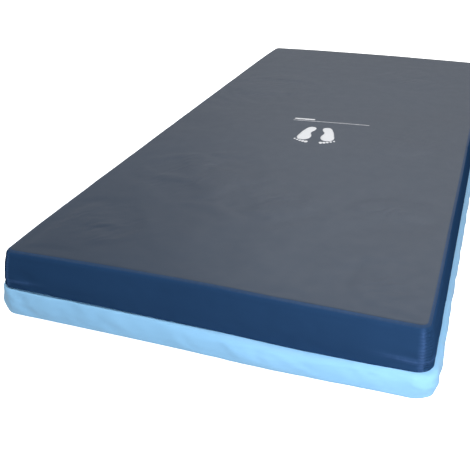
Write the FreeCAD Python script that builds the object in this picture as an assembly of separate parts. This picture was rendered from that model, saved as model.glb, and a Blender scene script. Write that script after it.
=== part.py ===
"""Pressure relief mattress for a ward bed: a castellated foam core inside a two-part zipped cover.

Units are millimetres. The origin is the middle of the underside, +Z is up, and the foot end is at -Y.
The navy top cover and its skirt hang over the zip; the pale blue base cover is a shallow tray under it.
Every layer follows the same rounded outline, so a wall's place is its inset from that outline.
"""

import math
import os

import FreeCAD, Part
from FreeCAD import Rotation, Vector

# The whole mattress.
WIDTH = 880.0
LENGTH = 1980.0
HEIGHT = 150.0
CORNER_R = 32.0
TOP_EDGE_R = 15.0

# Cover fabric.
FABRIC = 1.2
SKIRT_HEM_Z = 62.0
HEM_FOLD = 8.0
HEM_THICK = 0.8
SEAM_THICK = 1.0
SEAM_DEPTH = 6.0
SEAM_Z = (108.0, 126.0)

# Base cover: a full lower wall, then a shoulder that steps in under the skirt.
BASE_INSET = 0.6
BASE_EDGE_R = 12.0
SHOULDER_Z = (52.0, 62.0)
WALL_TOP_Z = 76.0
PANEL_INSET = 22.0
SEAM_TAPE_INSETS = (15.0, 29.0)
SEAM_TAPE_THICK = 0.6

# Zip, centred on ZIP_INSET from the outline.
ZIP_Z = 84.0
ZIP_INSET = 6.25
TAPE_THICK = 0.6
CHAIN_THICK = 1.6
CHAIN_ROW = 2.2
CHAIN_SLIT = 1.6
LOWER_TAPE_Z = 66.0
UPPER_TAPE_Z = (91.0, 99.0, 107.0)
STOP_LENGTH = 3.0
STOP_THICK = 2.0

# Zip sliders and their pulls.
SLIDER_LENGTH = 18.0
SLIDER_HEIGHT = 10.0
SLIDER_CORNER_R = 3.0
WING = 0.9
CHANNEL = 2.3
FLANGE = 0.5
FLANGE_HEIGHT = 1.0
POST_LENGTH = 3.0
POST_HEIGHT = 0.9
STUD_R = 1.3
STUD_HEAD_R = 2.3
STUD_HEAD_THICK = 0.5
PULL_THICK = 0.8
PULL_GAP = 0.15
PULL_BORE_CLEARANCE = 0.06
PULL_EYE_R = 3.5
PULL_TIP_R = 4.0
PULL_LENGTH = 17.0
GRIP_SLOT = (3.0, 8.0)
SIDE_PARK_Y = -930.0
FOOT_PARK_X = 380.0
PARK_TO_CHAIN_END = 11.0

# Foam core.
CORE_INSET = 9.0
CORE_Z = (2.1, 148.5)
CORE_TOP_R = 14.0
BASE_FOAM_TOP = 52.0
TRANSITION_TOP = 84.0
SIDE_WALL_WIDTH = 60.0
SLIT_WIDTH = 6.0
SLIT_DEPTH = 45.0
CORE_HALF_LENGTH = LENGTH / 2 - CORE_INSET
ZONES = {
    # name: (foot-side end, head-side end, cells across, cells along)
    "heel_zone_foam": (-CORE_HALF_LENGTH, -640.0, 1, 6),
    "leg_zone_foam": (-640.0, -220.0, 7, 4),
    "torso_zone_foam": (-220.0, 420.0, 14, 12),
    "head_zone_foam": (420.0, CORE_HALF_LENGTH, 7, 5),
}

CHAIN_LOW_Z = ZIP_Z - CHAIN_SLIT / 2 - CHAIN_ROW
CHAIN_HIGH_Z = ZIP_Z + CHAIN_SLIT / 2 + CHAIN_ROW
OVERSHOOT = 1.0


def plan_wire(inset, z):
    """The rounded outline at height z, moved in by inset on every side."""
    half_x = WIDTH / 2 - CORNER_R
    half_y = LENGTH / 2 - CORNER_R
    radius = CORNER_R - inset
    centres = ((half_x, half_y), (-half_x, half_y), (-half_x, -half_y), (half_x, -half_y))

    def on_arc(corner, quarter_turns):
        angle = (corner + quarter_turns) * math.pi / 2
        x, y = centres[corner]
        return Vector(x + radius * math.cos(angle), y + radius * math.sin(angle), z)

    edges = []
    for corner in range(4):
        end = on_arc(corner, 1)
        edges.append(Part.Arc(on_arc(corner, 0), on_arc(corner, 0.5), end).toShape())
        edges.append(Part.LineSegment(end, on_arc((corner + 1) % 4, 0)).toShape())
    return Part.Wire(edges)


def slab(inset, low, high):
    """A plate of the outline, moved in by inset, from height low to high."""
    return Part.Face(plan_wire(inset, low)).extrude(Vector(0, 0, high - low))


def frustum(low_inset, low, high_inset, high):
    """A plate whose inset changes evenly from low to high."""
    return Part.makeLoft([plan_wire(low_inset, low), plan_wire(high_inset, high)], True, True)


def band(outer_inset, thick, low, high):
    """An upright ring of that thickness whose outer face is at outer_inset."""
    inner = slab(outer_inset + thick, low - OVERSHOOT, high + OVERSHOOT)
    return slab(outer_inset, low, high).cut(inner)


def round_rim(solid, z, radius):
    """Rounds the edges that lie at height z."""
    rim = [e for e in solid.Edges if all(abs(v.Z - z) < 1e-6 for v in e.Vertexes)]
    return solid.makeFillet(radius, rim)


def box(low, high):
    """A box between two opposite corners."""
    size = Vector(*high) - Vector(*low)
    return Part.makeBox(size.x, size.y, size.z, Vector(*low))


# Top cover and what is sewn to it.


def top_cover():
    """Top panel and skirt in one fabric, open underneath."""
    outer = round_rim(slab(0, SKIRT_HEM_Z, HEIGHT), HEIGHT, TOP_EDGE_R)
    inner_top = HEIGHT - FABRIC
    inner = slab(FABRIC, SKIRT_HEM_Z - OVERSHOOT, inner_top)
    return outer.cut(round_rim(inner, inner_top, TOP_EDGE_R - FABRIC))


def skirt_hem():
    """The skirt's lower edge, folded up inside."""
    return band(FABRIC, HEM_THICK, SKIRT_HEM_Z, SKIRT_HEM_Z + HEM_FOLD)


def corner_seams():
    """The seam allowance that stands inward at each upright corner of the skirt."""
    inside = slab(FABRIC, *SEAM_Z)
    inner_r = CORNER_R - FABRIC
    fins = []
    for corner in range(4):
        low = (inner_r - SEAM_DEPTH, -SEAM_THICK / 2, SEAM_Z[0])
        fin = box(low, (inner_r + OVERSHOOT, SEAM_THICK / 2, SEAM_Z[1]))
        angle = 45 + 90 * corner
        fin.rotate(Vector(), Vector(0, 0, 1), angle)
        side_x = 1 if corner in (0, 3) else -1
        side_y = 1 if corner in (0, 1) else -1
        fin.translate(Vector(side_x * (WIDTH / 2 - CORNER_R), side_y * (LENGTH / 2 - CORNER_R), 0))
        fins.append(fin.common(inside).Solids[0])
    return Part.makeCompound(fins)


def zip_tape_upper():
    """Rises from the chain and turns out to the skirt, where it is sewn."""
    low, bend, top = UPPER_TAPE_Z
    outer_inset = ZIP_INSET - TAPE_THICK / 2

    def filled(shrink, bottom, lid):
        upright = slab(outer_inset + shrink, bottom, low)
        leaning = frustum(outer_inset + shrink, low, FABRIC + shrink, bend)
        sewn = slab(FABRIC + shrink, bend, lid)
        return upright.fuse([leaning, sewn])

    outer = filled(0, CHAIN_HIGH_Z, top)
    return outer.cut(filled(TAPE_THICK, CHAIN_HIGH_Z - OVERSHOOT, top + OVERSHOOT))


# Base cover and what is sewn to it.


def base_border():
    """The tray's wall: rounded under the foot of the mattress, stepped in under the skirt."""
    wall_inset = ZIP_INSET + TAPE_THICK / 2

    def filled(shrink, lid):
        low, high = SHOULDER_Z
        lower = slab(BASE_INSET + shrink, shrink, low)
        lower = round_rim(lower, shrink, BASE_EDGE_R - shrink)
        shoulder = frustum(BASE_INSET + shrink, low, wall_inset + shrink, high)
        upper = slab(wall_inset + shrink, high, lid)
        return lower.fuse([shoulder, upper])

    wall = filled(0, WALL_TOP_Z).cut(filled(FABRIC, WALL_TOP_Z + OVERSHOOT))
    return wall.cut(slab(PANEL_INSET, -OVERSHOOT, FABRIC + OVERSHOOT))


def base_panel():
    """The flat underside, joined edge to edge with the border."""
    return slab(PANEL_INSET, 0, FABRIC)


def base_seam_tape():
    """The tape welded inside, over the seam between panel and border."""
    outer, inner = SEAM_TAPE_INSETS
    return band(outer, inner - outer, FABRIC, FABRIC + SEAM_TAPE_THICK)


def zip_tape_lower():
    """Sewn to the outside of the base wall, and free above it up to the chain."""
    return band(ZIP_INSET - TAPE_THICK / 2, TAPE_THICK, LOWER_TAPE_Z, CHAIN_LOW_Z)


# The chain: one row on each tape, open at the foot right corner, where its ends are.


def chain_row(low):
    """One row of the chain, with its bottom at height low."""
    end_x = FOOT_PARK_X + PARK_TO_CHAIN_END
    end_y = SIDE_PARK_Y - PARK_TO_CHAIN_END
    row = band(ZIP_INSET - CHAIN_THICK / 2, CHAIN_THICK, low, low + CHAIN_ROW)
    return row.cut(box((end_x, -LENGTH, 0), (WIDTH, end_y, HEIGHT)))


def zip_stops(low):
    """The clamps that close one row's two ends."""
    end_x = FOOT_PARK_X + PARK_TO_CHAIN_END
    end_y = SIDE_PARK_Y - PARK_TO_CHAIN_END
    x = WIDTH / 2 - ZIP_INSET
    y = -(LENGTH / 2 - ZIP_INSET)
    half = STOP_THICK / 2
    side = box((x - half, end_y - STOP_LENGTH, low), (x + half, end_y, low + CHAIN_ROW))
    foot = box((end_x, y - half, low), (end_x + STOP_LENGTH, y + half, low + CHAIN_ROW))
    return Part.makeCompound([side, foot])


# Slider and pull, made about the chain's middle: +X is out of the mattress, Y is the way they travel.


def wing(inner_x):
    """One of the slider's two plates, its face towards -X at inner_x."""
    half_y = SLIDER_LENGTH / 2
    half_z = SLIDER_HEIGHT / 2
    plate = box((inner_x, -half_y, -half_z), (inner_x + WING, half_y, half_z))
    corners = [e for e in plate.Edges if abs(e.Length - WING) < 1e-6]
    return plate.makeFillet(SLIDER_CORNER_R, corners)


def slider(open_end):
    """Two wings joined by a post, with a lower flange each side of the tape and a stud for the pull.

    The post is at the end where the chain is open: -1 or 1 along Y. The upper side has no flanges,
    so that the top cover's chain row can lift out.
    """
    face = CHANNEL / 2
    half_y = SLIDER_LENGTH / 2
    half_z = SLIDER_HEIGHT / 2
    straight = half_y - SLIDER_CORNER_R
    flange_z = (-half_z, -half_z + FLANGE_HEIGHT)
    post_y = sorted((open_end * (straight - POST_LENGTH), open_end * straight))
    head_x = face + WING + 2 * PULL_GAP + PULL_THICK
    outward = Vector(1, 0, 0)
    pieces = [
        wing(face),
        box((face - FLANGE, -straight, flange_z[0]), (face, straight, flange_z[1])),
        box((-face, -straight, flange_z[0]), (-face + FLANGE, straight, flange_z[1])),
        box((-face, post_y[0], -POST_HEIGHT / 2), (face, post_y[1], POST_HEIGHT / 2)),
        Part.makeCylinder(STUD_R, head_x - face - WING, Vector(face + WING, 0, 0), outward),
        Part.makeCylinder(STUD_HEAD_R, STUD_HEAD_THICK, Vector(head_x, 0, 0), outward),
    ]
    return wing(-face - WING).fuse(pieces).removeSplitter()


def pull():
    """A flat tab that hangs from the stud, with a slot to grip."""
    x = CHANNEL / 2 + WING + PULL_GAP
    outward = Vector(1, 0, 0)

    def disc(radius, z):
        return Part.makeCylinder(radius, PULL_THICK, Vector(x, 0, z), outward)

    # The straight sides are the common tangents of the eye and the tip.
    lean = math.asin((PULL_TIP_R - PULL_EYE_R) / PULL_LENGTH)

    def tangent(radius, z, side):
        return Vector(x, side * radius * math.cos(lean), z + radius * math.sin(lean))

    sides = [
        tangent(PULL_EYE_R, 0, -1),
        tangent(PULL_EYE_R, 0, 1),
        tangent(PULL_TIP_R, -PULL_LENGTH, 1),
        tangent(PULL_TIP_R, -PULL_LENGTH, -1),
    ]
    shank = Part.Face(Part.makePolygon(sides + sides[:1])).extrude(outward * PULL_THICK)
    slot_r = GRIP_SLOT[0] / 2
    slot_top = -PULL_LENGTH + GRIP_SLOT[1] - slot_r
    slot = box((x, -slot_r, -PULL_LENGTH), (x + PULL_THICK, slot_r, slot_top))
    slot = slot.fuse([disc(slot_r, -PULL_LENGTH), disc(slot_r, slot_top)])
    tab = shank.fuse([disc(PULL_EYE_R, 0), disc(PULL_TIP_R, -PULL_LENGTH)])
    bore = disc(STUD_R + PULL_BORE_CLEARANCE, 0)
    return tab.cut(slot.fuse(bore)).removeSplitter()


def on_side(piece):
    """Puts a slider or pull on the right-hand side, parked near the foot end."""
    place = Vector(WIDTH / 2 - ZIP_INSET, SIDE_PARK_Y, ZIP_Z)
    piece.Placement = FreeCAD.Placement(place, Rotation())
    return piece


def on_foot(piece):
    """Puts a slider or pull on the foot end, parked near the right-hand side."""
    place = Vector(FOOT_PARK_X, -(LENGTH / 2 - ZIP_INSET), ZIP_Z)
    piece.Placement = FreeCAD.Placement(place, Rotation(Vector(0, 0, 1), -90))
    return piece


# Foam core.


def core_part(low, high):
    """The part of the core's rounded block that lies between two opposite corners."""
    block = round_rim(slab(CORE_INSET, *CORE_Z), CORE_Z[1], CORE_TOP_R)
    return block.common(box(low, high))


def base_foam():
    """The firm full-size slab that everything else is bonded to."""
    return core_part((-WIDTH, -LENGTH, CORE_Z[0]), (WIDTH, LENGTH, BASE_FOAM_TOP))


def side_wall(side):
    """A firm rail along one side; side is -1 for the left and 1 for the right."""
    inner = WIDTH / 2 - CORE_INSET - SIDE_WALL_WIDTH
    spans = sorted((side * inner, side * WIDTH))
    return core_part((spans[0], -LENGTH, BASE_FOAM_TOP), (spans[1], LENGTH, HEIGHT))


def transition_foam():
    """The medium layer between the rails, under the castellated zones."""
    half = WIDTH / 2 - CORE_INSET - SIDE_WALL_WIDTH
    return core_part((-half, -LENGTH, BASE_FOAM_TOP), (half, LENGTH, TRANSITION_TOP))


def zone_foam(foot_side, head_side, across, along):
    """A soft block between the rails, slit from above into cells."""
    half = WIDTH / 2 - CORE_INSET - SIDE_WALL_WIDTH
    block = core_part((-half, foot_side, TRANSITION_TOP), (half, head_side, HEIGHT))
    floor = CORE_Z[1] - SLIT_DEPTH
    slits = []
    for i in range(1, across):
        x = -half + 2 * half * i / across - SLIT_WIDTH / 2
        slits.append(box((x, -LENGTH, floor), (x + SLIT_WIDTH, LENGTH, HEIGHT)))
    for i in range(1, along):
        y = foot_side + (head_side - foot_side) * i / along - SLIT_WIDTH / 2
        slits.append(box((-WIDTH, y, floor), (WIDTH, y + SLIT_WIDTH, HEIGHT)))
    return block.cut(slits)


def make_nodes():
    """Every sub-part by name."""
    nodes = {
        "top_cover": top_cover(),
        "skirt_hem": skirt_hem(),
        "corner_seams": corner_seams(),
        "zip_tape_upper": zip_tape_upper(),
        "zip_chain_upper": chain_row(CHAIN_HIGH_Z - CHAIN_ROW),
        "zip_stops_upper": zip_stops(CHAIN_HIGH_Z - CHAIN_ROW),
        "base_border": base_border(),
        "base_panel": base_panel(),
        "base_seam_tape": base_seam_tape(),
        "zip_tape_lower": zip_tape_lower(),
        "zip_chain_lower": chain_row(CHAIN_LOW_Z),
        "zip_stops_lower": zip_stops(CHAIN_LOW_Z),
        "slider_side": on_side(slider(open_end=-1)),
        "pull_side": on_side(pull()),
        "slider_foot": on_foot(slider(open_end=1)),
        "pull_foot": on_foot(pull()),
        "base_foam": base_foam(),
        "transition_foam": transition_foam(),
        "side_wall_left": side_wall(-1),
        "side_wall_right": side_wall(1),
    }
    for name, zone in ZONES.items():
        nodes[name] = zone_foam(*zone)
    return nodes


def main():
    os.makedirs("parts", exist_ok=True)
    for name, shape in make_nodes().items():
        sound = shape.isValid() and len(shape.Solids) > 0
        print(f"{name}: {len(shape.Solids)} solid, {shape.Volume / 1000:.2f} cm3, sound {sound}")
        shape.exportStep(f"parts/{name}.step")


main()
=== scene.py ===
import math

import bmesh
import bpy
import numpy as np
from mathutils import Matrix, Vector, noise
from mathutils.bvhtree import BVHTree


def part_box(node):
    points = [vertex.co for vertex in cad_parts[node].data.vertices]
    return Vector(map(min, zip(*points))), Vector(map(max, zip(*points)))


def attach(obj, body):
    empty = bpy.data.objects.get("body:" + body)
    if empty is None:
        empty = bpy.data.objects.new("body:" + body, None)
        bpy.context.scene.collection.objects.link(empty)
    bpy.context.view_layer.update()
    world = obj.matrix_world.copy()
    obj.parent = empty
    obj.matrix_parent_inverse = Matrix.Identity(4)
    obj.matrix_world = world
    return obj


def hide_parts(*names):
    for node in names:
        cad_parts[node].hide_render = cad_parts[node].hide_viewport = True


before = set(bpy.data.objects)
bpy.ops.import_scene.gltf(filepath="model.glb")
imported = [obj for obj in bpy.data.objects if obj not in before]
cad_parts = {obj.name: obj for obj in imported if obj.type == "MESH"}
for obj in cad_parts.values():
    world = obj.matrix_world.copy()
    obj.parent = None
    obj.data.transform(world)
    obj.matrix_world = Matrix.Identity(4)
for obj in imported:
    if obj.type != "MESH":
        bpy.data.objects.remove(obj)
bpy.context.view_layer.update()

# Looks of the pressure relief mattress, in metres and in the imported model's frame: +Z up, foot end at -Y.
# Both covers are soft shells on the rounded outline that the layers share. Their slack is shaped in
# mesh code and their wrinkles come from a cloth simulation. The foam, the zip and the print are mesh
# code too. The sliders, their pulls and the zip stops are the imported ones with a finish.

# The outline and the layers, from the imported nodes. CORNERS are the signs of x and y at each corner.
COVER_LOW, COVER_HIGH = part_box("top_cover")
BASE_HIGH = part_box("base_border")[1]
TAPE_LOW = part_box("zip_tape_lower")
TAPE_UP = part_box("zip_tape_upper")
CORE_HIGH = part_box("side_wall_right")[1]
HALF_X, HALF_Y = COVER_HIGH.x, COVER_HIGH.y
HEM_Z, TOP_Z = COVER_LOW.z, COVER_HIGH.z
CORNER_R = 0.032
CORNERS = ((1, 1), (-1, 1), (-1, -1), (1, -1))

# Cover fabric and the grid it is built on.
FABRIC = 0.0012
CELL = 0.009
WALL_ROW = 0.0036
ARC_CELLS = 18

# Top cover: its leaning skirt and its rounded top edge.
TOP_EDGE_R = 0.014
EDGE_TURNS = 7
WALL_LEAN = 0.008
LEAN_FROM_Z = 0.090
FLAT_INSET = 0.027
# Faces that look up past these take the edge and top copies of the navy knit: painted shade, the top darker
# and greyer than the sides.
EDGE_FACE_NORMAL = 0.80
TOP_FACE_NORMAL = 0.965

# Slack in the top cover: how far, and how far from a corner it reaches.
CORNER_DROOP = 0.003
CORNER_REACH = 0.15
CORNER_PULL = 0.0015
CORNER_PULL_REACH = 0.08
SLOW_WAVE = 0.0007
CROWN = 0.004
CROWN_AT = (-0.10, 0.24, 0.14)
SEAM_ANGLE = math.radians(68)
WELT = 0.0013
LEVEL_FOLD = 0.0019
CORNER_DART = 0.0030
RIPPLE = 0.0010
HEM_FADE = 0.3
HEM_LINE = (
    # place across the foot end from -1 to 1, and how far the hem is above level there
    (-1, 0.0068), (-0.5, 0.0045), (0.1, 0.0010), (0.45, -0.0035), (0.75, -0.0030), (1, 0.0),
)
CREASE_PATCHES = (
    # x, y, radius of the places where the top is slightly creased
    (0.30, -0.54, 0.11), (-0.20, -0.46, 0.18), (0.02, -0.57, 0.13), (0.26, -0.05, 0.15),
    (0.33, -0.85, 0.10), (-0.25, 0.35, 0.20), (0.20, 0.62, 0.15), (-0.30, -0.80, 0.12),
)

# Base tray: its upright rim, and the slack band below the hem.
RIM_INSET = 0.00655
RIM_BEND_Z = 0.069
LEDGE_INSET = 0.0030
BAND_INSET = 0.0006
BAND_ROWS = 12
BAND_SWELL = 0.25
BAND_BULGE = 0.007
BAND_BELLY = 0.010
RIGHT_BELLY = 0.006
BASE_EDGE_R = 0.012
BASE_TURNS = 6
LIP_RISE = 1.2
SLANT = np.array(Matrix.Rotation(0.45, 3, "Y"))

# Cloth simulation: spare cloth as a share of its length, and the furthest that a point may move.
CLOTH_STEPS = 12
COVER_SPARE, COVER_CAP = 0.007, 0.0012
TRAY_SPARE, TRAY_CAP = 0.025, 0.002
PRESS_IN = 0.0008

# Zip and stitching.
COIL_PITCH = 0.0022
COIL_REACH = 0.0008
TAPE_THICK = 0.0006
STITCH = 0.0034
STITCH_ROWS = (0.004, 0.009)
METAL_EDGE = 0.00012

# Print.
PRINT_AT = Vector((0.006, -0.090, 0))
PRINT_TURN = 0.08
FOOT_SPLAY = 0.14
SOLE_LENGTH = 0.117
HEEL_MIDDLE = (0.0032, 0.078)
HEEL_APART = 0.0208
INK_THICK = 0.0004
INK_LIFT = 0.00015
BARS = (
    # x, y, width, depth
    (0.027, 0.131, 0.230, 0.0022),
    (-0.055, 0.146, 0.062, 0.010),
)

# Foam. EDGE_STEPS are the cuts in from an outer face that let it turn round an edge.
EDGE_STEPS = (0.0, 0.002, 0.005, 0.009, 0.014, 0.020, 0.028, 0.036)
FOAM_TOP_Z = 0.1470
FOAM_TOP_R = 0.020
FOAM_EDGE = 0.002
FOAM_CELL = 0.05
SLIT = 0.006
SLIT_DEPTH = 0.045
CELLS = {
    # cells across and along each zone
    "heel_zone_foam": (1, 6),
    "leg_zone_foam": (7, 4),
    "torso_zone_foam": (14, 12),
    "head_zone_foam": (7, 5),
}

# Floor and camera.
FLOOR_HALF = 14.0
FLOOR_Z = -0.0004
LENS = 56.39
CAMERA_AT = (0.4594, -HALF_Y - 1.0795, 0.8529)
CAMERA_DOWN = 26.88
CAMERA_LEFT = 19.42


# ---------------------------------------------------------------- mesh helpers


def new_object(name, verts, faces, materials=(), smooth=True):
    """An object from points and faces."""
    mesh = bpy.data.meshes.new(name)
    mesh.from_pydata([tuple(v) for v in verts], [], faces)
    mesh.update()
    for material in materials:
        mesh.materials.append(material)
    mesh.polygons.foreach_set("use_smooth", [smooth] * len(mesh.polygons))
    obj = bpy.data.objects.new(name, mesh)
    bpy.context.scene.collection.objects.link(obj)
    return obj


def points_of(mesh):
    """A mesh's points as an array."""
    co = np.empty(len(mesh.vertices) * 3)
    mesh.vertices.foreach_get("co", co)
    return co.reshape(-1, 3)


def normals_of(mesh):
    """A mesh's point normals as an array."""
    out = np.empty(len(mesh.vertices) * 3)
    mesh.vertex_normals.foreach_get("vector", out)
    return out.reshape(-1, 3)


def set_points(mesh, points):
    """Moves a mesh's points."""
    mesh.vertices.foreach_set("co", np.asarray(points, float).ravel())
    mesh.update()


def smooth_step(value):
    """0 below 0, 1 above 1, smooth between."""
    t = np.clip(value, 0, 1)
    return t * t * (3 - 2 * t)


def hump(values, middle, wide):
    """1 where the value is the middle, fading to 0 over that width on both sides."""
    return np.exp(-((values - middle) / wide) ** 2)


def noise_of(points, size, seed):
    """Smooth noise from -1 to 1 with features of about that size."""
    shift = Vector((seed * 7.3, seed * 3.1, seed * 5.7))
    return np.array([noise.noise(Vector(p) / size + shift) for p in points])


# ------------------------------------------------- shells on the rounded outline


def outline(inset, cell=CELL, arc_cells=ARC_CELLS):
    """Points round the outline, anticlockwise from +X: (point, outward direction, grid index)."""
    cx, cy = HALF_X - CORNER_R, HALF_Y - CORNER_R
    nx, ny = round(2 * cx / cell), round(2 * cy / cell)
    radius = CORNER_R - inset
    ends = ((nx, ny), (0, ny), (0, 0), (nx, 0))
    rows = []
    for k, (sx, sy) in enumerate(CORNERS):
        for i in range(arc_cells + 1):
            angle = (k + i / arc_cells) * math.pi / 2
            way = (math.cos(angle), math.sin(angle))
            rows.append(((sx * cx + radius * way[0], sy * cy + radius * way[1]), way, ends[k]))
        nsx, nsy = CORNERS[(k + 1) % 4]
        (ai, aj), (bi, bj) = ends[k], ends[(k + 1) % 4]
        count = nx if k % 2 == 0 else ny
        angle = (k + 1) * math.pi / 2
        way = (round(math.cos(angle)), round(math.sin(angle)))
        for i in range(1, count):
            t = i / count
            x = cx * (sx + (nsx - sx) * t) + radius * way[0]
            y = cy * (sy + (nsy - sy) * t) + radius * way[1]
            rows.append(((x, y), way, (ai + (bi - ai) * i // count, aj + (bj - aj) * i // count)))
    return rows, nx, ny


def shell(name, profile, cap_z, materials, flip=False, cell=CELL):
    """A wall that follows the outline through the profile's (inset, z) rows, closed by a flat grid.

    The last row of the profile has to be short of CORNER_R, where the corners' arcs close to a point.
    """
    verts, faces = [], []
    for inset, z in profile:
        rows, nx, ny = outline(inset, cell)
        verts += [(x, y, z) for (x, y), _, _ in rows]
    count = len(rows)
    first = len(verts)
    cx, cy = HALF_X - CORNER_R, HALF_Y - CORNER_R
    for j in range(ny + 1):
        for i in range(nx + 1):
            verts.append((cx * (2 * i / nx - 1), cy * (2 * j / ny - 1), cap_z))

    def at(i, j):
        return first + j * (nx + 1) + i

    for r in range(len(profile) - 1):
        for i in range(count):
            n = (i + 1) % count
            faces.append((r * count + i, r * count + n, (r + 1) * count + n, (r + 1) * count + i))
    last = (len(profile) - 1) * count
    for i in range(count):
        n = (i + 1) % count
        inner = [at(*rows[n][2]), at(*rows[i][2])]
        face = [last + i, last + n] + (inner if inner[0] != inner[1] else inner[:1])
        faces.append(tuple(face))
    for j in range(ny):
        for i in range(nx):
            faces.append((at(i, j), at(i + 1, j), at(i + 1, j + 1), at(i, j + 1)))
    if flip:
        faces = [tuple(reversed(f)) for f in faces]
    return new_object(name, verts, faces, materials)


def band(name, profile, materials, cell=0.02):
    """A closed ring: the profile's (inset, z) points make its section, and it follows the outline."""
    verts, faces = [], []
    for inset, z in profile:
        rows, _, _ = outline(inset, cell)
        verts += [(x, y, z) for (x, y), _, _ in rows]
    count = len(rows)
    for r in range(len(profile)):
        s = (r + 1) % len(profile)
        for i in range(count):
            n = (i + 1) % count
            faces.append((r * count + i, r * count + n, s * count + n, s * count + i))
    return new_object(name, verts, faces, materials)


def to_corner(points):
    """Each point's distance in plan from the nearest corner of the outline, and that corner's signs."""
    x, y = points[:, 0], points[:, 1]
    away = np.hypot(HALF_X - np.abs(x), HALF_Y - np.abs(y))
    return away, np.sign(x), np.sign(y)


# ------------------------------------------------------------- cloth simulation


def let_settle(obj, loose, spare, cap, held):
    """Cloth simulation: spare cloth buckles where loose is 1, and no point moves further than cap.
    """
    mesh = obj.data
    start, normals = points_of(mesh), normals_of(mesh)
    for name, weights in (("taut", 1 - loose), ("held", held)):
        group = obj.vertex_groups.new(name=name)
        for i in np.nonzero(weights > 0)[0]:
            group.add([int(i)], float(weights[i]), "REPLACE")
    cloth = obj.modifiers.new("Cloth", "CLOTH")
    settings = cloth.settings
    settings.quality = 4
    settings.mass = 0.15
    settings.tension_stiffness = 20
    settings.compression_stiffness = 20
    settings.shear_stiffness = 8
    settings.bending_stiffness = 0.3
    settings.vertex_group_mass = "held"
    settings.vertex_group_shrink = "taut"
    settings.shrink_min = -spare
    settings.effector_weights.gravity = 0
    cloth.collision_settings.use_collision = False
    cloth.collision_settings.use_self_collision = False
    scene = bpy.context.scene
    for step in range(1, CLOTH_STEPS + 1):
        scene.frame_set(step)
    solved = obj.evaluated_get(bpy.context.evaluated_depsgraph_get())
    moved = points_of(solved.data) - start
    obj.modifiers.remove(cloth)
    scene.frame_set(1)
    inward = np.minimum((moved * normals).sum(1) + PRESS_IN, 0)
    moved -= inward[:, None] * normals
    length = np.linalg.norm(moved, axis=1) + 1e-9
    set_points(mesh, start + moved * (cap * np.tanh(length / cap) / length)[:, None])
    obj.vertex_groups.clear()


# ------------------------------------------------------------------- materials


class Nodes:
    """A short way to write a node tree."""

    def __init__(self, name):
        self.material = bpy.data.materials.new(name)
        self.material.use_nodes = True
        self.tree = self.material.node_tree
        self.shader = self.tree.nodes["Principled BSDF"]
        self.place = self.tree.nodes.new("ShaderNodeTexCoord").outputs["Object"]

    def add(self, kind, inputs=None, **settings):
        node = self.tree.nodes.new(kind)
        for key, value in settings.items():
            setattr(node, key, value)
        for key, value in (inputs or {}).items():
            if hasattr(value, "is_output"):
                self.tree.links.new(value, node.inputs[key])
            else:
                node.inputs[key].default_value = value
        return node

    def noise(self, scale, detail=2.0, rough=0.5, place=None):
        inputs = {"Vector": place or self.place, "Scale": scale, "Detail": detail, "Roughness": rough}
        return self.add("ShaderNodeTexNoise", inputs).outputs["Fac"]

    def stretched(self, x, y, z):
        return self.add("ShaderNodeMapping", {"Vector": self.place, "Scale": (x, y, z)}).outputs[0]

    def mix(self, factor, a, b):
        node = self.add("ShaderNodeMix", data_type="RGBA")
        for key, value in (("Factor", factor), ("A", a), ("B", b)):
            socket = [s for s in node.inputs if s.name == key and s.enabled][0]
            if hasattr(value, "is_output"):
                self.tree.links.new(value, socket)
            else:
                socket.default_value = value
        return [s for s in node.outputs if s.enabled][0]

    def spread(self, value, low, high, to_low=0.0, to_high=1.0):
        inputs = {"Value": value, "From Min": low, "From Max": high, "To Min": to_low, "To Max": to_high}
        return self.add("ShaderNodeMapRange", inputs).outputs[0]

    def math(self, operation, a, b):
        return self.add("ShaderNodeMath", {0: a, 1: b}, operation=operation).outputs[0]

    def bump(self, height, distance, strength=1.0, after=None):
        inputs = {"Height": height, "Distance": distance, "Strength": strength}
        if after:
            inputs["Normal"] = after
        return self.add("ShaderNodeBump", inputs).outputs[0]

    def finish(self, color, roughness, normal=None, values=None):
        for key, value in (("Base Color", color), ("Roughness", roughness), ("Normal", normal)):
            if hasattr(value, "is_output"):
                self.tree.links.new(value, self.shader.inputs[key])
            elif value is not None:
                self.shader.inputs[key].default_value = value
        for key, value in (values or {}).items():
            self.shader.inputs[key].default_value = value
        return self.material


def crease(n, normal, patches):
    """Small slanting creases that keep to the given patches of the top."""
    slant = n.add("ShaderNodeMapping", {"Vector": n.place, "Rotation": (0, 0, 0.7)}).outputs[0]
    look = {"Vector": slant, "Scale": 11.0, "Distortion": 9.0, "Detail": 2.0, "Detail Scale": 1.4}
    lines = n.add("ShaderNodeTexWave", look).outputs["Fac"]
    where = None
    for x, y, radius in patches:
        ends = {0: n.place, 1: (x, y, TOP_Z)}
        reach = n.add("ShaderNodeVectorMath", ends, operation="DISTANCE").outputs["Value"]
        share = n.spread(reach, 0.2 * radius, radius, 1.0, 0.0)
        where = share if where is None else n.math("MAXIMUM", where, share)
    broken = n.math("MULTIPLY", where, n.spread(n.noise(14.0, 2.0), 0.35, 0.65))
    return n.bump(n.math("MULTIPLY", lines, broken), 0.0012, 0.5, normal)


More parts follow.
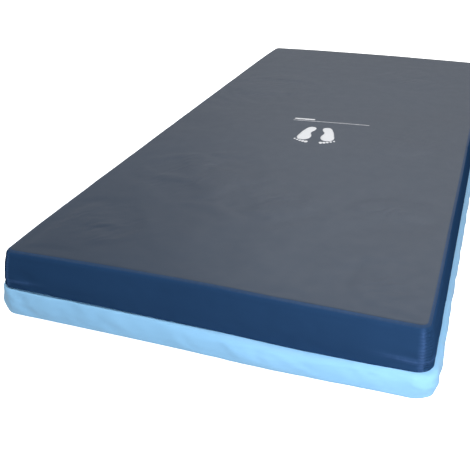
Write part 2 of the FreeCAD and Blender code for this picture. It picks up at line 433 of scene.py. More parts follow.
def paint_highlight(n, color, normal, painted_highlight_and_wear):
    """The painted highlight colour and small level puckers, where the mesh's own values say that they are.
    """
    # painted highlight: the knit turns paler on the corner seams, level folds and top edge, where light
    # catches them
    pale_highlight_and_wear = n.add("ShaderNodeAttribute", attribute_name="painted_highlight_and_wear").outputs["Fac"]
    pucker = n.add("ShaderNodeAttribute", attribute_name="pucker").outputs["Fac"]
    look = {"Vector": n.place, "Scale": 52.0, "Distortion": 3.0, "Detail Scale": 6.0}
    ripple = n.add("ShaderNodeTexWave", look, bands_direction="Z").outputs["Fac"]
    speck = n.spread(n.noise(120.0, 2.0), 0.3, 0.7, 0.6, 1.0)
    broken = n.math("MULTIPLY", n.spread(ripple, 0.0, 1.0, 0.55, 1.0), speck)
    color = n.mix(n.math("MULTIPLY", pale_highlight_and_wear, broken), color, painted_highlight_and_wear)
    return color, n.bump(n.math("MULTIPLY", ripple, pucker), 0.0015, 1.0, normal)


def coated_knit(name, tones, roughness, gloss, sheen=0.0, patches=(), painted_highlight_and_wear=None, blotches=9.0):
    """Stretch knit with a polyurethane face: fine grain, faint blotches, and, if asked, creases and a
    painted highlight.

    The tones are its colour and the darker and lighter colours that it drifts between.
    """
    n = Nodes(name)
    color, shade, light = tones
    blotch = n.spread(n.noise(blotches, 3.0), 0.3, 0.7)
    grain = n.noise(900.0, 2.0, 0.6)
    color = n.mix(n.spread(grain, 0.25, 0.75, 0.35, 0.65), color, n.mix(blotch, shade, light))
    rough = n.spread(n.noise(35.0, 3.0), 0.3, 0.7, roughness - 0.02, roughness + 0.02)
    normal = n.bump(n.noise(16.0, 3.0, 0.55), 0.004, 0.10)
    if patches:
        normal = crease(n, normal, patches)
    if painted_highlight_and_wear:
        color, normal = paint_highlight(n, color, normal, painted_highlight_and_wear)
    normal = n.bump(grain, 0.0002, 0.35, normal)
    values = {"Specular IOR Level": gloss, "Sheen Weight": sheen, "Sheen Roughness": 0.45}
    return n.finish(color, rough, normal, values)


def knit_back(name, color, dark):
    """The uncoated inner face: a fine rib."""
    n = Nodes(name)
    rib = n.add(
        "ShaderNodeTexWave", {"Vector": n.place, "Scale": 220.0, "Distortion": 0.6},
        wave_type="BANDS", bands_direction="DIAGONAL",
    ).outputs["Fac"]
    normal = n.bump(rib, 0.0004, 0.6)
    return n.finish(n.mix(rib, dark, color), 0.85, normal, {"Sheen Weight": 0.25})


def woven_tape(name, color, dark):
    """Zip tape: a tight weave of two crossed ribs."""
    n = Nodes(name)
    rib = {"Vector": n.place, "Scale": 260.0}
    warp = n.add("ShaderNodeTexWave", dict(rib), bands_direction="Z").outputs["Fac"]
    weft = n.add("ShaderNodeTexWave", dict(rib), bands_direction="DIAGONAL").outputs["Fac"]
    both = n.math("MULTIPLY", warp, weft)
    normal = n.bump(both, 0.0004, 0.7)
    return n.finish(n.mix(both, dark, color), 0.8, normal, {"Sheen Weight": 0.2})


def foam(name, color, dark):
    """Cut open-cell foam: pores, and a slight drift of colour."""
    n = Nodes(name)
    pores = n.add("ShaderNodeTexVoronoi", {"Vector": n.place, "Scale": 420.0}).outputs["Distance"]
    coarse = n.noise(140.0, 4.0, 0.7)
    drift = n.noise(6.0, 2.0)
    color = n.mix(n.spread(n.math("MULTIPLY", pores, coarse), 0.05, 0.4), dark, color)
    color = n.mix(n.spread(drift, 0.3, 0.7, 0.0, 0.12), color, (0.95, 0.9, 0.78, 1))
    normal = n.bump(coarse, 0.0015, 0.5)
    normal = n.bump(pores, 0.0008, 0.6, normal)
    return n.finish(color, 0.95, normal, {"Sheen Weight": 0.15, "Specular IOR Level": 0.2})


def moulded(name, color, light):
    """Satin nylon, slightly mottled."""
    n = Nodes(name)
    mottle = n.noise(300.0, 3.0)
    return n.finish(n.mix(mottle, color, light), n.spread(mottle, 0.3, 0.7, 0.3, 0.45),
                    n.bump(mottle, 0.0002, 0.4))


def cast_metal(name, color, pale_highlight_and_wear):
    """Die-cast zinc with rubbed edges and fine scratches."""
    n = Nodes(name)
    scratches = n.noise(1200.0, 3.0, 0.6, n.stretched(1.0, 1.0, 0.15))
    edge = n.add("ShaderNodeNewGeometry").outputs["Pointiness"]
    painted_highlight_and_wear = n.spread(edge, 0.5, 0.56)
    color = n.mix(painted_highlight_and_wear, color, pale_highlight_and_wear)
    rough = n.spread(scratches, 0.3, 0.7, 0.28, 0.46)
    return n.finish(color, rough, n.bump(scratches, 0.0001, 0.5), {"Metallic": 1.0})


def screen_print(name):
    """Flexible white ink with tiny pinholes of wear."""
    n = Nodes(name)
    wear = n.spread(n.noise(700.0, 4.0, 0.7), 0.62, 0.72)
    color = n.mix(wear, (0.80, 0.82, 0.85, 1), (0.45, 0.50, 0.58, 1))
    return n.finish(color, n.spread(wear, 0, 1, 0.5, 0.65), n.bump(wear, 0.0001, 0.5))


def thread(name, color, light):
    """Twisted sewing thread."""
    n = Nodes(name)
    twist = n.noise(1500.0, 2.0)
    return n.finish(n.mix(twist, color, light), 0.7, n.bump(twist, 0.0002, 0.6), {"Sheen Weight": 0.3})


# The paler colour given after the three tones of the navy knits is a painted highlight on the corner seams,
# level folds and top edge.
NAVY = coated_knit(
    "navy_skirt_knit",
    ((0.0145, 0.0450, 0.111, 1), (0.0135, 0.0420, 0.104, 1), (0.0155, 0.0480, 0.118, 1)),
    roughness=0.6, gloss=0.0, painted_highlight_and_wear=(0.042, 0.095, 0.225, 1),
)
# Lit and shaded copies of one navy knit: the top copy is darker and greyer, with more gloss, and the edge
# copy lies between; painted shade set by which way a face looks.
NAVY_TOP = coated_knit(
    "navy_knit_top_shaded_copy",
    ((0.0090, 0.028, 0.060, 1), (0.0070, 0.024, 0.053, 1), (0.0110, 0.032, 0.067, 1)),
    roughness=0.45, gloss=0.35, sheen=0.07, patches=CREASE_PATCHES, blotches=2.2,
)
NAVY_EDGE = coated_knit(
    "navy_edge_knit",
    ((0.0120, 0.0380, 0.090, 1), (0.0110, 0.0350, 0.084, 1), (0.0130, 0.0410, 0.096, 1)),
    roughness=0.5, gloss=0.16, painted_highlight_and_wear=(0.034, 0.080, 0.180, 1),
)
NAVY_BACK = knit_back("navy_knit_back", (0.05, 0.08, 0.15, 1), (0.02, 0.04, 0.08, 1))
SKY = coated_knit(
    "sky_coated_knit",
    ((0.262, 0.562, 0.858, 1), (0.246, 0.542, 0.838, 1), (0.278, 0.582, 0.878, 1)),
    roughness=0.40, gloss=0.45,
)
SKY_BACK = knit_back("sky_knit_back", (0.42, 0.62, 0.82, 1), (0.26, 0.44, 0.64, 1))
TAPE = woven_tape("navy_zip_tape", (0.030, 0.050, 0.095, 1), (0.010, 0.018, 0.040, 1))
COIL = moulded("navy_nylon_coil", (0.018, 0.030, 0.062, 1), (0.040, 0.060, 0.105, 1))
METAL = cast_metal("slider_zinc", (0.42, 0.43, 0.45, 1), (0.75, 0.75, 0.76, 1))
STOP_METAL = cast_metal("stop_metal", (0.25, 0.26, 0.28, 1), (0.60, 0.60, 0.62, 1))
INK = screen_print("white_ink")
THREAD = thread("navy_thread", (0.035, 0.060, 0.120, 1), (0.075, 0.110, 0.190, 1))
SEAM_TAPE = moulded("welded_seam_tape", (0.30, 0.50, 0.72, 1), (0.38, 0.58, 0.78, 1))
FOAM_FIRM = foam("firm_foam", (0.40, 0.50, 0.62, 1), (0.24, 0.31, 0.42, 1))
FOAM_MEDIUM = foam("medium_foam", (0.86, 0.80, 0.64, 1), (0.62, 0.55, 0.40, 1))
FOAM_SOFT = foam("soft_foam", (0.62, 0.80, 0.62, 1), (0.40, 0.58, 0.42, 1))
FOAM_HEEL = foam("heel_foam", (0.86, 0.66, 0.62, 1), (0.64, 0.43, 0.40, 1))


# ------------------------------------------------------------------- top cover


def wall_inset(z):
    """How far the skirt stands in from the outline at height z: upright over the zip, then leaning in."""
    t = np.clip((z - LEAN_FROM_Z) / (TOP_Z - TOP_EDGE_R - LEAN_FROM_Z), 0, 1)
    return WALL_LEAN * t ** 1.5


def cover_profile():
    """(inset, z) up the skirt, round the top edge and on to the flat."""
    spring_z = TOP_Z - TOP_EDGE_R
    rows = []
    steps = round((spring_z - HEM_Z) / WALL_ROW)
    for i in range(steps):
        z = HEM_Z + (spring_z - HEM_Z) * i / steps
        rows.append((wall_inset(z), z))
    for i in range(EDGE_TURNS + 1):
        angle = i / EDGE_TURNS * math.pi / 2
        inset = WALL_LEAN + TOP_EDGE_R * (1 - math.cos(angle))
        rows.append((inset, spring_z + TOP_EDGE_R * math.sin(angle)))
    return rows + [(FLAT_INSET, TOP_Z)]


def hem_run(points):
    """How far the skirt's hem strays from level, which shows at the foot end and fades along the sides."""
    places, heights = zip(*HEM_LINE)
    fade = np.exp(-((points[:, 1] + HALF_Y) / HEM_FADE) ** 2)
    return np.interp(points[:, 0] / HALF_X, places, heights) * fade


def soften(points, wave=0.0):
    """Drooped and pulled-in corners, the hem's line, and slow waves on top if asked.

    All that sits inside the top cover has it too, so the layers stay clear of each other.
    """
    out = np.array(points, float)
    away, sx, sy = to_corner(out)
    up = np.clip((out[:, 2] - HEM_Z) / (TOP_Z - HEM_Z), 0, 1)
    near = np.exp(-(away / CORNER_REACH) ** 2)
    pull = CORNER_PULL * np.exp(-(away / CORNER_PULL_REACH) ** 2) * up ** 1.5
    if wave:
        out[:, 2] += up ** 4 * wave * noise_of(points, 0.16, 1)
    out[:, 2] += hem_run(out) * smooth_step(1 - up * 2.5) - CORNER_DROOP * near * up
    out[:, 0] -= sx * pull
    out[:, 1] -= sy * pull
    return out


def seam_angle(points):
    """The angle round each upright corner, 0 at the side, and which points are at a corner."""
    x = np.abs(points[:, 0]) - (HALF_X - CORNER_R)
    y = np.abs(points[:, 1]) - (HALF_Y - CORNER_R)
    return np.arctan2(np.maximum(y, 1e-6), np.maximum(x, 1e-6)), (x > 0) & (y > 0)


def level_fold(points):
    """The long level fold that runs into each corner seam, from 0 to 1."""
    away, _, _ = to_corner(points)
    crest = HEM_Z + 0.020 + 0.08 * np.maximum(away - 0.02, 0)
    return hump(points[:, 2], crest, 0.005) * hump(away, 0.040, 0.045)


def skirt_relief(points):
    """How far the skirt stands out or in.

    A welt at each corner seam with a dart behind it, level folds beside it, and slow ripples.
    """
    angle, at_corner = seam_angle(points)
    away, _, _ = to_corner(points)
    z = points[:, 2]
    on_wall = smooth_step((TOP_Z - 0.006 - z) / 0.02) * smooth_step((z - HEM_Z) / 0.006 + 0.15)
    welt = hump(angle, SEAM_ANGLE, 0.11) - 0.8 * hump(angle, SEAM_ANGLE - 0.27, 0.12)
    dart = hump(angle, SEAM_ANGLE - 0.30, 0.14) * hump(z, TOP_Z - 0.009, 0.006)
    ripple = noise_of(points * (1.0, 1.0, 5.5), 0.10, 3) * (0.35 + 0.65 * hump(away, 0, 0.20))
    at_seam = (WELT * welt - CORNER_DART * dart) * at_corner
    return (at_seam + LEVEL_FOLD * level_fold(points) + RIPPLE * ripple) * on_wall


def note_painted_highlight(mesh, points):
    """Stores where seams, folds and the top edge get a painted highlight, and where cloth puckers by a seam.
    """
    angle, at_corner = seam_angle(points)
    z = points[:, 2]
    on_wall = smooth_step((TOP_Z + 0.001 - z) / 0.010) * at_corner
    # painted highlight on the corner welts, the level folds and the top edge; the puckers are a bump only
    for name, middle, wide in (("painted_highlight_and_wear", SEAM_ANGLE, 0.18), ("pucker", SEAM_ANGLE - 0.40, 0.42)):
        values = hump(angle, middle, wide) * on_wall
        if name == "painted_highlight_and_wear":
            top_edge = smooth_step((z - TOP_Z + 0.005) / 0.004)
            values = np.maximum(values, np.maximum(0.85 * level_fold(points), 0.6 * top_edge))
        mesh.attributes.new(name, "FLOAT", "POINT").data.foreach_set("value", values)


def crown_end(points):
    """The top edge at the foot end rises a little left of the middle."""
    middle, wide, deep = CROWN_AT
    share = hump(points[:, 0], middle, wide) * hump(points[:, 1], -HALF_Y, deep)
    return CROWN * share * smooth_step((points[:, 2] - 0.11) / 0.035)


def cover_looseness(points):
    """Where the top cover has spare cloth: a little on top, more in the creased patches and on the wall."""
    away, _, _ = to_corner(points)
    on_top = smooth_step((points[:, 2] - TOP_Z + TOP_EDGE_R) / TOP_EDGE_R)
    creased = 0.12
    for x, y, radius in CREASE_PATCHES:
        reach = np.hypot(points[:, 0] - x, points[:, 1] - y)
        creased = np.maximum(creased, 0.5 * smooth_step(1.3 - reach / radius))
    return on_top * creased + (1 - on_top) * (0.2 + 0.7 * hump(away, 0, 0.20))


def make_top_cover():
    materials = (NAVY, NAVY_EDGE, NAVY_TOP, NAVY_BACK, NAVY_BACK, NAVY_BACK)
    cover = shell("stretch_top_cover", cover_profile(), TOP_Z, materials)
    mesh = cover.data
    for face in mesh.polygons:
        # painted shade: up-facing faces take the darker edge and top copies of the navy knit
        face.material_index = (face.normal.z > EDGE_FACE_NORMAL) + (face.normal.z > TOP_FACE_NORMAL)
    flat_points = points_of(mesh)
    note_painted_highlight(mesh, flat_points)
    points = soften(flat_points, wave=SLOW_WAVE)
    points[:, 2] += crown_end(flat_points)
    set_points(mesh, points)
    held = 1.0 * (flat_points[:, 2] < HEM_Z + 0.002)
    let_settle(cover, cover_looseness(flat_points), COVER_SPARE, COVER_CAP, held)
    set_points(mesh, points_of(mesh) + normals_of(mesh) * skirt_relief(flat_points)[:, None])
    thick = cover.modifiers.new("Thickness", "SOLIDIFY")
    thick.thickness = FABRIC
    thick.offset = -1
    thick.material_offset = 3
    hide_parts("top_cover")
    extras = [make_hem(), make_corner_seams(), make_print(cover)]
    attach(cover, "top_cover")
    return cover


def make_hem():
    """The skirt's folded edge: a soft roll under the cloth's cut edge and a flap inside."""
    profile = [
        (0.0001, HEM_Z + 0.0016), (-0.0003, HEM_Z + 0.0004), (0.0003, HEM_Z - 0.0006),
        (0.0012, HEM_Z - 0.0009), (0.0020, HEM_Z - 0.0003), (0.0023, HEM_Z + 0.0010),
        (0.0021, HEM_Z + 0.0072), (0.0013, HEM_Z + 0.0080),
    ]
    hem = band("rolled_skirt_hem", profile, (NAVY,), CELL)
    set_points(hem.data, soften(points_of(hem.data)))
    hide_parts("skirt_hem")
    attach(hem, "top_cover")
    return hem


def make_corner_seams():
    """The seam allowance inside each upright corner: a soft upright flap."""
    low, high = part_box("corner_seams")
    inner_r = CORNER_R - FABRIC - 0.0003
    verts, faces = [], []
    for sx, sy in CORNERS:
        at = Vector((sx * (HALF_X - CORNER_R), sy * (HALF_Y - CORNER_R), 0))
        turn = Matrix.Rotation(math.atan2(sy, sx), 3, "Z")
        ends = (Vector((inner_r - 0.0062, -0.0005, low.z)), Vector((inner_r, 0.0005, high.z)))
        cuts = [np.linspace(ends[0][k], ends[1][k], n) for k, n in enumerate((5, 3, 9))]
        points, quads = block(cuts, 0.0004)
        faces += [tuple(i + len(verts) for i in q) for q in quads]
        inset = wall_inset((low.z + high.z) / 2)
        for p in points:
            curl = 0.0012 * math.sin((p[2] - low.z) * 260) * (inner_r - p[0]) / 0.006
            verts.append(turn @ Vector((p[0] - inset, p[1] + curl, p[2])) + at)
    seams = new_object("corner_seam_flaps", soften(verts), faces, (NAVY_BACK,))
    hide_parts("corner_seams")
    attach(seams, "top_cover")
    return seams


# ------------------------------------------------------- print: rule and footprints


def sole(t):
    """The sole at t from heel (0) to toe end (1): (half width, shift to the outer side)."""
    ends = max(0.0, 1 - abs(2 * t - 1) ** 5) ** 0.5
    instep = math.exp(-((t - 0.44) / 0.17) ** 2)
    return (0.0155 + 0.0048 * smooth_step((t - 0.4) / 0.4) - 0.0020 * instep) * ends, 0.0050 * instep


def flat_patch(rows, columns, place):
    """A grid patch: place(t, u) gives the point for t and u from 0 to 1."""
    verts = [place(r / rows, c / columns) for r in range(rows + 1) for c in range(columns + 1)]
    faces = []
    for r in range(rows):
        for c in range(columns):
            a = r * (columns + 1) + c
            faces.append((a, a + 1, a + columns + 2, a + columns + 1))
    return verts, faces


def footprint(side):
    """Patches of one plain footprint, heel at the origin, toes along -Y; side is -1 left, 1 right."""
    def on_sole(t, u):
        half, shift = sole(0.01 + 0.98 * t)
        return (side * shift + half * (2 * u - 1), -SOLE_LENGTH * t)

    patches = [flat_patch(26, 8, on_sole)]
    for i in range(5):
        across = side * (-0.0185 + 0.0094 * i)
        along = -SOLE_LENGTH - 0.0150 + 0.0013 * i ** 1.7
        size = 0.0085 - 0.0009 * i

        def on_toe(t, u, across=across, along=along, size=size):
            wide = math.sqrt(max(0.0, 1 - (2 * t - 1) ** 2 * 0.985))
            return (across + 0.62 * size * wide * (2 * u - 1), along + size * (1 - 2 * t) * 0.9)

        patches.append(flat_patch(8, 4, on_toe))
    return patches


def make_print(cover):
    """The mark that shows the foot end, in ink on the top: a plain rule, a short bar and two footprints."""
    mesh = cover.data
    tree = BVHTree.FromPolygons([v.co for v in mesh.vertices], [p.vertices[:] for p in mesh.polygons])
    verts, faces = [], []
    whole = Matrix.Rotation(PRINT_TURN, 2)

    def lay(patch, centre, angle=0.0):
        points, quads = patch
        faces.extend(tuple(i + len(verts) for i in q) for q in quads)
        turn = Matrix.Rotation(angle, 2)
        for p in points:
            flat = whole @ (turn @ Vector(p) + Vector(centre)) + PRINT_AT.xy
            hit = tree.ray_cast(Vector((flat.x, flat.y, 1)), Vector((0, 0, -1)))[0]
            verts.append((flat.x, flat.y, hit.z + INK_LIFT))

    for side in (-1, 1):
        heel = (HEEL_MIDDLE[0] + side * HEEL_APART, HEEL_MIDDLE[1])
        for patch in footprint(side):
            lay(patch, heel, side * FOOT_SPLAY)
    for x, y, wide, deep in BARS:

        def on_bar(t, u, wide=wide, deep=deep):
            return (wide * (u - 0.5), deep * (0.5 - t))

        lay(flat_patch(2, max(8, round(wide / 0.006)), on_bar), (x, y))
    mark = new_object("foot_end_print", verts, faces, (INK,))
    film = mark.modifiers.new("Ink film", "SOLIDIFY")
    film.thickness = INK_THICK
    film.offset = 0
    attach(mark, "top_cover")
    return mark


# ------------------------------------------------------------------ base cover


def base_profile():
    """(inset, z) from the tray's upper rim down to the underside; the lower band bulges a little."""
    rows = [(RIM_INSET, z) for z in (BASE_HIGH.z, RIM_BEND_Z, HEM_Z + 0.002)]
    rows.append((LEDGE_INSET, HEM_Z - 0.0006))
    top = HEM_Z - 0.002
    for i in range(BAND_ROWS):
        t = i / (BAND_ROWS - 1)
        out = BAND_SWELL + (1 - BAND_SWELL) * math.sin(math.pi * (0.06 + 0.80 * t)) ** 0.8
        rows.append((BAND_INSET - BAND_BULGE * out, top + (BASE_EDGE_R - top) * t))
    low_inset = rows[-1][0]
    for i in range(1, BASE_TURNS + 1):
        angle = i / BASE_TURNS * math.pi / 2
        turn = low_inset + (BAND_INSET + BASE_EDGE_R - low_inset) * (1 - math.cos(angle))
        rows.append((turn, BASE_EDGE_R * (1 - math.sin(angle))))
    return rows + [(0.017, 0.0), (0.022, 0.0), (0.028, 0.0)]


def follow_hem(points):
    """How far the tray rises or dips so that the skirt's uneven hem still meets it.

    Where the hem rises only the band's outer lip does, so the ledge behind it stays clear of the zip.
    """
    z = points[:, 2]
    past = np.abs(points[:, :2]) - (HALF_X - CORNER_R, HALF_Y - CORNER_R)
    inset = CORNER_R - np.hypot(*np.maximum(past, 0).T)
    lip = LIP_RISE * smooth_step((0.0028 - inset) / 0.0035)
    ledge = smooth_step((RIM_BEND_Z - z) / (RIM_BEND_Z - 0.002 - HEM_Z))
    run = hem_run(points)
    return run * np.where(run > 0, lip, ledge) * smooth_step((z - 0.03) / (HEM_Z - 0.03))


def slacken_band(points):
    """The lower band's slack: a belly in the middle of each side, soft folds, and the skirt's line above."""
    out = np.array(points, float)
    x, y, z = points[:, 0], points[:, 1], points[:, 2]
    band = smooth_step(z / 0.012) * smooth_step((HEM_Z + 0.002 - z) / 0.012)
    at_end = smooth_step((np.abs(y) - (HALF_Y - CORNER_R)) / 0.02)
    at_side = smooth_step((np.abs(x) - (HALF_X - CORNER_R)) / 0.02)
    belly = BAND_BELLY * hump(x / HALF_X, 0.35, 0.45) * at_end
    near = hump(to_corner(points)[0], 0, 0.18)
    folds = (0.0013 + 0.0016 * near) * noise_of(points @ SLANT * (1.0, 1.0, 2.2), 0.045, 5)
    folds += (0.0003 + 0.0009 * near) * noise_of(points @ SLANT * (1.0, 1.0, 2.6), 0.018, 6)
    out[:, 0] += (np.sign(x) * folds + RIGHT_BELLY * (x > 0)) * at_side * band
    out[:, 1] += np.sign(y) * (belly + folds * at_end) * band
    out[:, 2] += follow_hem(points)
    return out


def make_base_cover():
    tray = shell("base_tray_cover", base_profile(), 0.0, (SKY, SKY_BACK), flip=True)
    flat_points = points_of(tray.data)
    set_points(tray.data, slacken_band(flat_points))
    z = flat_points[:, 2]
    away, _, _ = to_corner(flat_points)
    in_band = smooth_step((z - BASE_EDGE_R) / 0.016) * smooth_step((HEM_Z - z) / 0.010)
    loose = in_band * (0.3 + 0.7 * hump(away, 0, 0.20))
    let_settle(tray, loose, TRAY_SPARE, TRAY_CAP, held=1.0 * (in_band == 0))
    thick = tray.modifiers.new("Thickness", "SOLIDIFY")
    thick.thickness = FABRIC
    thick.offset = -1
    thick.material_offset = 1
    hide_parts("base_border", "base_panel")
    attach(tray, "base")
    return tray


def make_seam_tape():
    """The tape welded over the seam between the tray's border and its underside."""
    low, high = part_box("base_seam_tape")
    outer, inner = HALF_X - high.x, HALF_X - high.x + 0.016
    profile = [(outer, low.z), (inner, low.z), (inner - 0.0008, high.z), (outer + 0.0008, high.z)]
    tape = band("welded_seam_tape", profile, (SEAM_TAPE,))
    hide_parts("base_seam_tape")
    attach(tape, "base")


# --------------------------------------------------------------------------- zip


def stations(inset, pitch):
    """Evenly spaced places round the outline: (place, outward direction)."""
    radius = CORNER_R - inset
    cx, cy = HALF_X - CORNER_R, HALF_Y - CORNER_R
    turn = radius * math.pi / 2
    total = 4 * (cx + cy + turn)
    count = round(total / pitch)
    places = []
    for n in range(count):
        left = n * total / count
        for k, (sx, sy) in enumerate(CORNERS):
            run = 2 * cx if k % 2 == 0 else 2 * cy
            if left < turn + run:
                break
            left -= turn + run
        angle = (k + min(left / turn, 1)) * math.pi / 2
        way = Vector((math.cos(angle), math.sin(angle), 0))
        along = Vector((-way.y, way.x, 0)) * max(0.0, left - turn)
        places.append((Vector((sx * cx, sy * cy, 0)) + way * radius + along, way))
    return places


def coil(name, node, toward, body):
    """Nylon coil turns on a tape's edge: one small rounded bar each; toward is 1 if they point up."""
    low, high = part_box(node)
    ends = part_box("zip_stops_lower")
    verts, faces = [], []
    section = ((-0.5, 0.0), (-0.38, 0.62), (-0.16, 1.0), (0.16, 1.0), (0.38, 0.62), (0.5, 0.0))
    ring = range(len(section))
    height = (high.z - low.z) * 1.05
    foot_z = low.z if toward > 0 else high.z
    for place, way in stations(HALF_X - high.x + COIL_REACH, COIL_PITCH):
        if place.x > ends[0].x and place.y < ends[1].y:
            continue
        side = Vector((-way.y, way.x, 0))
        first = len(verts)
        for reach in (COIL_REACH, -COIL_REACH):
            for along, up in section:
                p = place + way * reach + side * along * COIL_PITCH * 0.8
                verts.append((p.x, p.y, foot_z + toward * up * height))
        faces.append(tuple(first + i for i in ring))
        faces.append(tuple(first + 6 + i for i in reversed(ring)))
        for i in ring:
            j = (i + 1) % 6
            faces.append((first + j, first + i, first + 6 + i, first + 6 + j))
    made = new_object(name, verts, faces, (COIL,))
    tidy_normals(made)
    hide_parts(node)
    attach(made, body)


def stitches(name, inset, z, body):
    """A line of thread laid in short stitches round the outline."""
    ends = ((-0.38, 0.3), (-0.22, 1.0), (0.22, 1.0), (0.38, 0.3))
    section = ((-0.0001, -0.00030), (0.00030, -0.00018), (0.00030, 0.00018), (-0.0001, 0.00030))
    verts, faces = [], []
    for place, way in stations(inset, STITCH):
        side = Vector((-way.y, way.x, 0))
        first = len(verts)
        for along, puff in ends:
            for out, up in section:
                p = place + side * along * STITCH + way * out * puff
                verts.append((p.x, p.y, z + up * (0.4 + 0.6 * puff)))
        for r in range(3):
            for i in range(4):
                a, b = first + 4 * r + i, first + 4 * r + (i + 1) % 4
                faces.append((a, b, b + 4, a + 4))
        faces.append(tuple(first + i for i in (3, 2, 1, 0)))
        faces.append(tuple(first + 12 + i for i in range(4)))
    made = new_object(name, verts, faces, (THREAD,))
    tidy_normals(made)
    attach(made, body)


def make_tapes():
    """Both zip tapes: woven strips, the upper one turning out to the skirt."""
    edge = HALF_X - TAPE_LOW[1].x
    low_z, high_z = TAPE_LOW[0].z, TAPE_LOW[1].z
    rise = [low_z, low_z + 0.005, low_z + 0.010, high_z]
    profile = [(edge, z) for z in rise] + [(edge + TAPE_THICK, z) for z in reversed(rise)]
    lower = band("zip_tape_lower_woven", profile, (TAPE,))
    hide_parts("zip_tape_lower")
    low_z, high_z = TAPE_UP[0].z, TAPE_UP[1].z
    path = [(edge, low_z), (edge, low_z + 0.004), (edge - TAPE_THICK, low_z + 0.008)]
    path += [(wall_inset(z) + FABRIC + 0.0002, z) for z in (high_z - 0.008, high_z - 0.004, high_z)]
    profile = path + [(inset + TAPE_THICK, z) for inset, z in reversed(path)]
    upper = band("zip_tape_upper_woven", profile, (TAPE,))
    set_points(upper.data, soften(points_of(upper.data)))
    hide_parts("zip_tape_upper")
    for tape, body in ((lower, "base"), (upper, "top_cover")):
        tidy_normals(tape)
        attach(tape, body)
    for name, height in zip(("zip_tape_stitches", "zip_tape_stitches_top"), STITCH_ROWS):
        stitches(name, edge, TAPE_LOW[0].z + height, "base")


def finish_metal():
    """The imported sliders, pulls and stops keep their shape, with broken edges and a cast finish."""
    for node, material in (
        ("slider_side", METAL), ("slider_foot", METAL), ("pull_side", METAL), ("pull_foot", METAL),
        ("zip_stops_lower", STOP_METAL), ("zip_stops_upper", STOP_METAL),
    ):
        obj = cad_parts[node]
        obj.data.materials.clear()
        obj.data.materials.append(material)
        edge = obj.modifiers.new("Broken edges", "BEVEL")
        edge.width = METAL_EDGE
        edge.segments = 2
        edge.limit_method = "ANGLE"
        edge.harden_normals = True


def tidy_normals(obj):
    """Turns every face outwards."""
    work = bmesh.new()
    work.from_mesh(obj.data)
    bmesh.ops.recalc_face_normals(work, faces=work.faces)
    work.to_mesh(obj.data)
    work.free()


# -------------------------------------------------------------------------- foam


def block(cuts, radius):
    """Points and faces of a closed box with rounded edges, cut at the given places along each axis."""
    low = np.array([c[0] for c in cuts])
    high = np.array([c[-1] for c in cuts])
    index, points, faces = {}, [], []

    def at(key):
        if key not in index:
            index[key] = len(points)
            points.append([cuts[k][key[k]] for k in range(3)])
        return index[key]

    for axis in range(3):
        u, v = (axis + 1) % 3, (axis + 2) % 3
        for end in (0, len(cuts[axis]) - 1):
            for i in range(len(cuts[u]) - 1):
                for j in range(len(cuts[v]) - 1):
                    quad = []
                    for di, dj in ((0, 0), (1, 0), (1, 1), (0, 1)):
                        key = [0, 0, 0]
                        key[axis], key[u], key[v] = end, i + di, j + dj
                        quad.append(at(tuple(key)))
                    faces.append(tuple(quad if end else reversed(quad)))
    points = np.array(points)
    core = np.clip(points, low + radius, high - radius)
    off = points - core
    length = np.linalg.norm(off, axis=1)[:, None] + 1e-12
    return core + off * radius / length, faces


def cuts_between(low, high, low_steps, high_steps, coarse):
    """Places to cut along one side: close together at each end, coarse between."""
    start, stop = low + low_steps[-1], high - high_steps[-1]
    count = max(1, round((stop - start) / coarse))
    middle = [start + (stop - start) * i / count for i in range(1, count)]
    return [low + s for s in low_steps] + middle + [high - s for s in reversed(high_steps)]


def round_core(points):
    """Rounds what all the foam makes up: its upright corners and its top edge."""
    out = np.array(points, float)
    half = np.array((CORE_HIGH.x, CORE_HIGH.y))
    corner = CORNER_R - (HALF_X - CORE_HIGH.x)
    sign = np.sign(out[:, :2])
    past = np.abs(out[:, :2]) - (half - corner)
    both = (past > 0).all(1)
    reach = np.hypot(*np.maximum(past, 0).T)
    inset = np.where(both, corner - reach, (half - np.abs(out[:, :2])).min(1))
    side = past.argmax(1)
    way = np.zeros_like(past)
    way[np.arange(len(way)), side] = 1
    way[both] = past[both] / reach[both][:, None]
    wanted = np.maximum(inset, 0)
    a = FOAM_TOP_R - wanted
    b = out[:, 2] - (FOAM_TOP_Z - FOAM_TOP_R)
    far = np.hypot(a, b)
    over = (a > 0) & (b > 0) & (far > FOAM_TOP_R)
    wanted = np.where(over, FOAM_TOP_R - a * FOAM_TOP_R / np.maximum(far, 1e-9), wanted)
    out[:, 2] = np.where(over, FOAM_TOP_Z - FOAM_TOP_R + b * FOAM_TOP_R / np.maximum(far, 1e-9), out[:, 2])
    out[:, :2] -= sign * way * (wanted - inset)[:, None]
    return out


def foam_piece(name, node, boxes, material, slot):
    """Closed foam blocks in one piece. Each box is (low, high) and its edges are slightly soft."""
    small = (0.0, 0.0007, FOAM_EDGE)
    verts, faces = [], []
    for low, high in boxes:
        cuts = []
        for k in range(3):
            ends = []
            for value, limit in ((low[k], -1), (high[k], 1)):
                outer = k < 2 and abs(abs(value) - (CORE_HIGH.x, CORE_HIGH.y)[k]) < 1e-4
                top = k == 2 and limit > 0 and abs(value - FOAM_TOP_Z) < 1e-4
                ends.append(EDGE_STEPS if outer else small + (0.006, 0.012, 0.020) if top else small)
            cuts.append(cuts_between(low[k], high[k], *ends, FOAM_CELL))
        points, quads = block(cuts, FOAM_EDGE)
        faces += [tuple(i + len(verts) for i in q) for q in quads]
        verts += list(points)
    made = new_object(name, soften(round_core(verts)), faces, (material,))
    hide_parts(node)
    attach(made, "core")


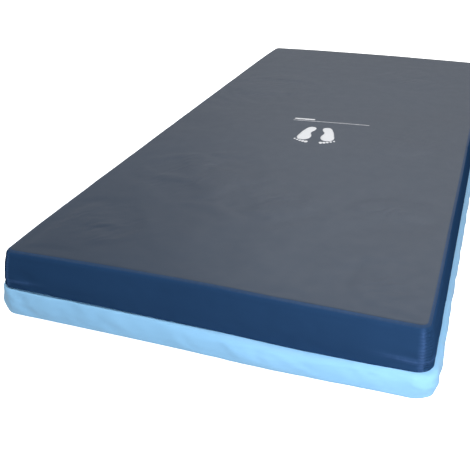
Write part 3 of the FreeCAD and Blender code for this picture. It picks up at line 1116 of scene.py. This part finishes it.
def zone_boxes(node):
    """The slab and the cells of a castellated zone."""
    low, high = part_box(node)
    across, along = CELLS[node]
    floor_z = high.z - SLIT_DEPTH
    boxes = [((low.x, low.y, low.z), (high.x, high.y, floor_z))]
    wide, deep = (high.x - low.x) / across, (high.y - low.y) / along
    for i in range(across):
        for j in range(along):
            x0 = low.x + wide * i + (SLIT / 2 if i else 0)
            x1 = low.x + wide * (i + 1) - (SLIT / 2 if i < across - 1 else 0)
            y0 = low.y + deep * j + (SLIT / 2 if j else 0)
            y1 = low.y + deep * (j + 1) - (SLIT / 2 if j < along - 1 else 0)
            boxes.append(((x0, y0, floor_z - 0.003), (x1, y1, FOAM_TOP_Z)))
    return boxes


def make_foam():
    for name, node, material, slot in (
        ("firm_base_slab", "base_foam", FOAM_FIRM, "foam_firm"),
        ("medium_transition_slab", "transition_foam", FOAM_MEDIUM, "foam_medium"),
        ("firm_rail_left", "side_wall_left", FOAM_FIRM, "foam_firm"),
        ("firm_rail_right", "side_wall_right", FOAM_FIRM, "foam_firm"),
    ):
        low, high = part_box(node)
        low, high = tuple(low), (high.x, high.y, min(high.z, FOAM_TOP_Z))
        foam_piece(name, node, [(low, high)], material, slot)
    for node in CELLS:
        heel = node == "heel_zone_foam"
        kind = (FOAM_HEEL, "foam_heel") if heel else (FOAM_SOFT, "foam_soft")
        foam_piece(node.replace("_foam", "_cells"), node, zone_boxes(node), *kind)


# ----------------------------------------------------------- light, floor, camera


def make_floor():
    """A white cut-out ground that gives off its own light and doesn't light the mattress."""
    n = Nodes("white_floor")
    tone = n.spread(n.noise(0.7, 3.0), 0.3, 0.7, 1.0, 1.03)
    n.tree.links.new(tone, n.shader.inputs["Emission Strength"])
    material = n.finish((0.9, 0.9, 0.9, 1), 0.8, None, {"Emission Color": (1, 1, 1, 1)})
    ends = ((-1, -1), (1, -1), (1, 1), (-1, 1))
    verts = [(FLOOR_HALF * x, FLOOR_HALF * y, FLOOR_Z) for x, y in ends]
    floor = new_object("floor", verts, [(0, 1, 2, 3)], (material,))
    floor.visible_diffuse = False
    floor.visible_glossy = False
    return floor


def make_world():
    """A plain grey room, a little brighter overhead."""
    world = bpy.data.worlds.new("studio")
    bpy.context.scene.world = world
    world.use_nodes = True
    tree = world.node_tree
    place = tree.nodes.new("ShaderNodeTexCoord")
    split = tree.nodes.new("ShaderNodeSeparateXYZ")
    ramp = tree.nodes.new("ShaderNodeValToRGB")
    tree.links.new(place.outputs["Generated"], split.inputs[0])
    tree.links.new(split.outputs["Z"], ramp.inputs[0])
    tree.links.new(ramp.outputs[0], tree.nodes["Background"].inputs["Color"])
    stops = ramp.color_ramp.elements
    stops[0].position, stops[0].color = 0.0, (0.54, 0.54, 0.54, 1)
    stops[1].position, stops[1].color = 0.8, (0.62, 0.62, 0.62, 1)
    tree.nodes["Background"].inputs["Strength"].default_value = 1.0


def area_light(name, place, target, size, power, color=(1, 1, 1), glossy=True):
    data = bpy.data.lights.new(name, "AREA")
    data.shape = "RECTANGLE"
    data.size, data.size_y = size
    data.energy = power
    data.color = color
    light = bpy.data.objects.new(name, data)
    bpy.context.scene.collection.objects.link(light)
    light.location = place
    aim = Vector(target) - Vector(place)
    light.rotation_euler = aim.to_track_quat("-Z", "Y").to_euler()
    light.visible_camera = False
    light.visible_glossy = glossy
    return light


def make_lights():
    """A low key at the foot right-hand corner, a wide light behind the head end, and one overhead."""
    place, target, warm = (0.95, -1.95, 0.50), (0.40, -0.95, 0.08), (1.0, 0.92, 0.95)
    area_light("key", place, target, (0.3, 0.3), 16, warm, glossy=False)
    area_light("back", (0.4, 3.4, 3.4), (0.1, -0.7, 0.15), (4.2, 1.5), 67)
    area_light("overhead", (-0.2, -1.15, 2.4), (-0.1, -1.0, 0.15), (1.6, 0.7), 12)


def make_camera():
    data = bpy.data.cameras.new("camera")
    data.lens = LENS
    data.sensor_width = 36.0
    data.clip_start, data.clip_end = 0.05, 100
    camera = bpy.data.objects.new("camera", data)
    bpy.context.scene.collection.objects.link(camera)
    camera.location = CAMERA_AT
    camera.rotation_euler = (math.radians(90 - CAMERA_DOWN), 0, math.radians(CAMERA_LEFT))
    bpy.context.scene.camera = camera


make_camera()
make_world()
make_lights()
make_floor()
make_top_cover()
make_base_cover()
make_seam_tape()
make_tapes()
coil("zip_coil_lower", "zip_chain_lower", 1, "base")
coil("zip_coil_upper", "zip_chain_upper", -1, "top_cover")
finish_metal()
make_foam()
bpy.context.scene.view_settings.view_transform = "Standard"
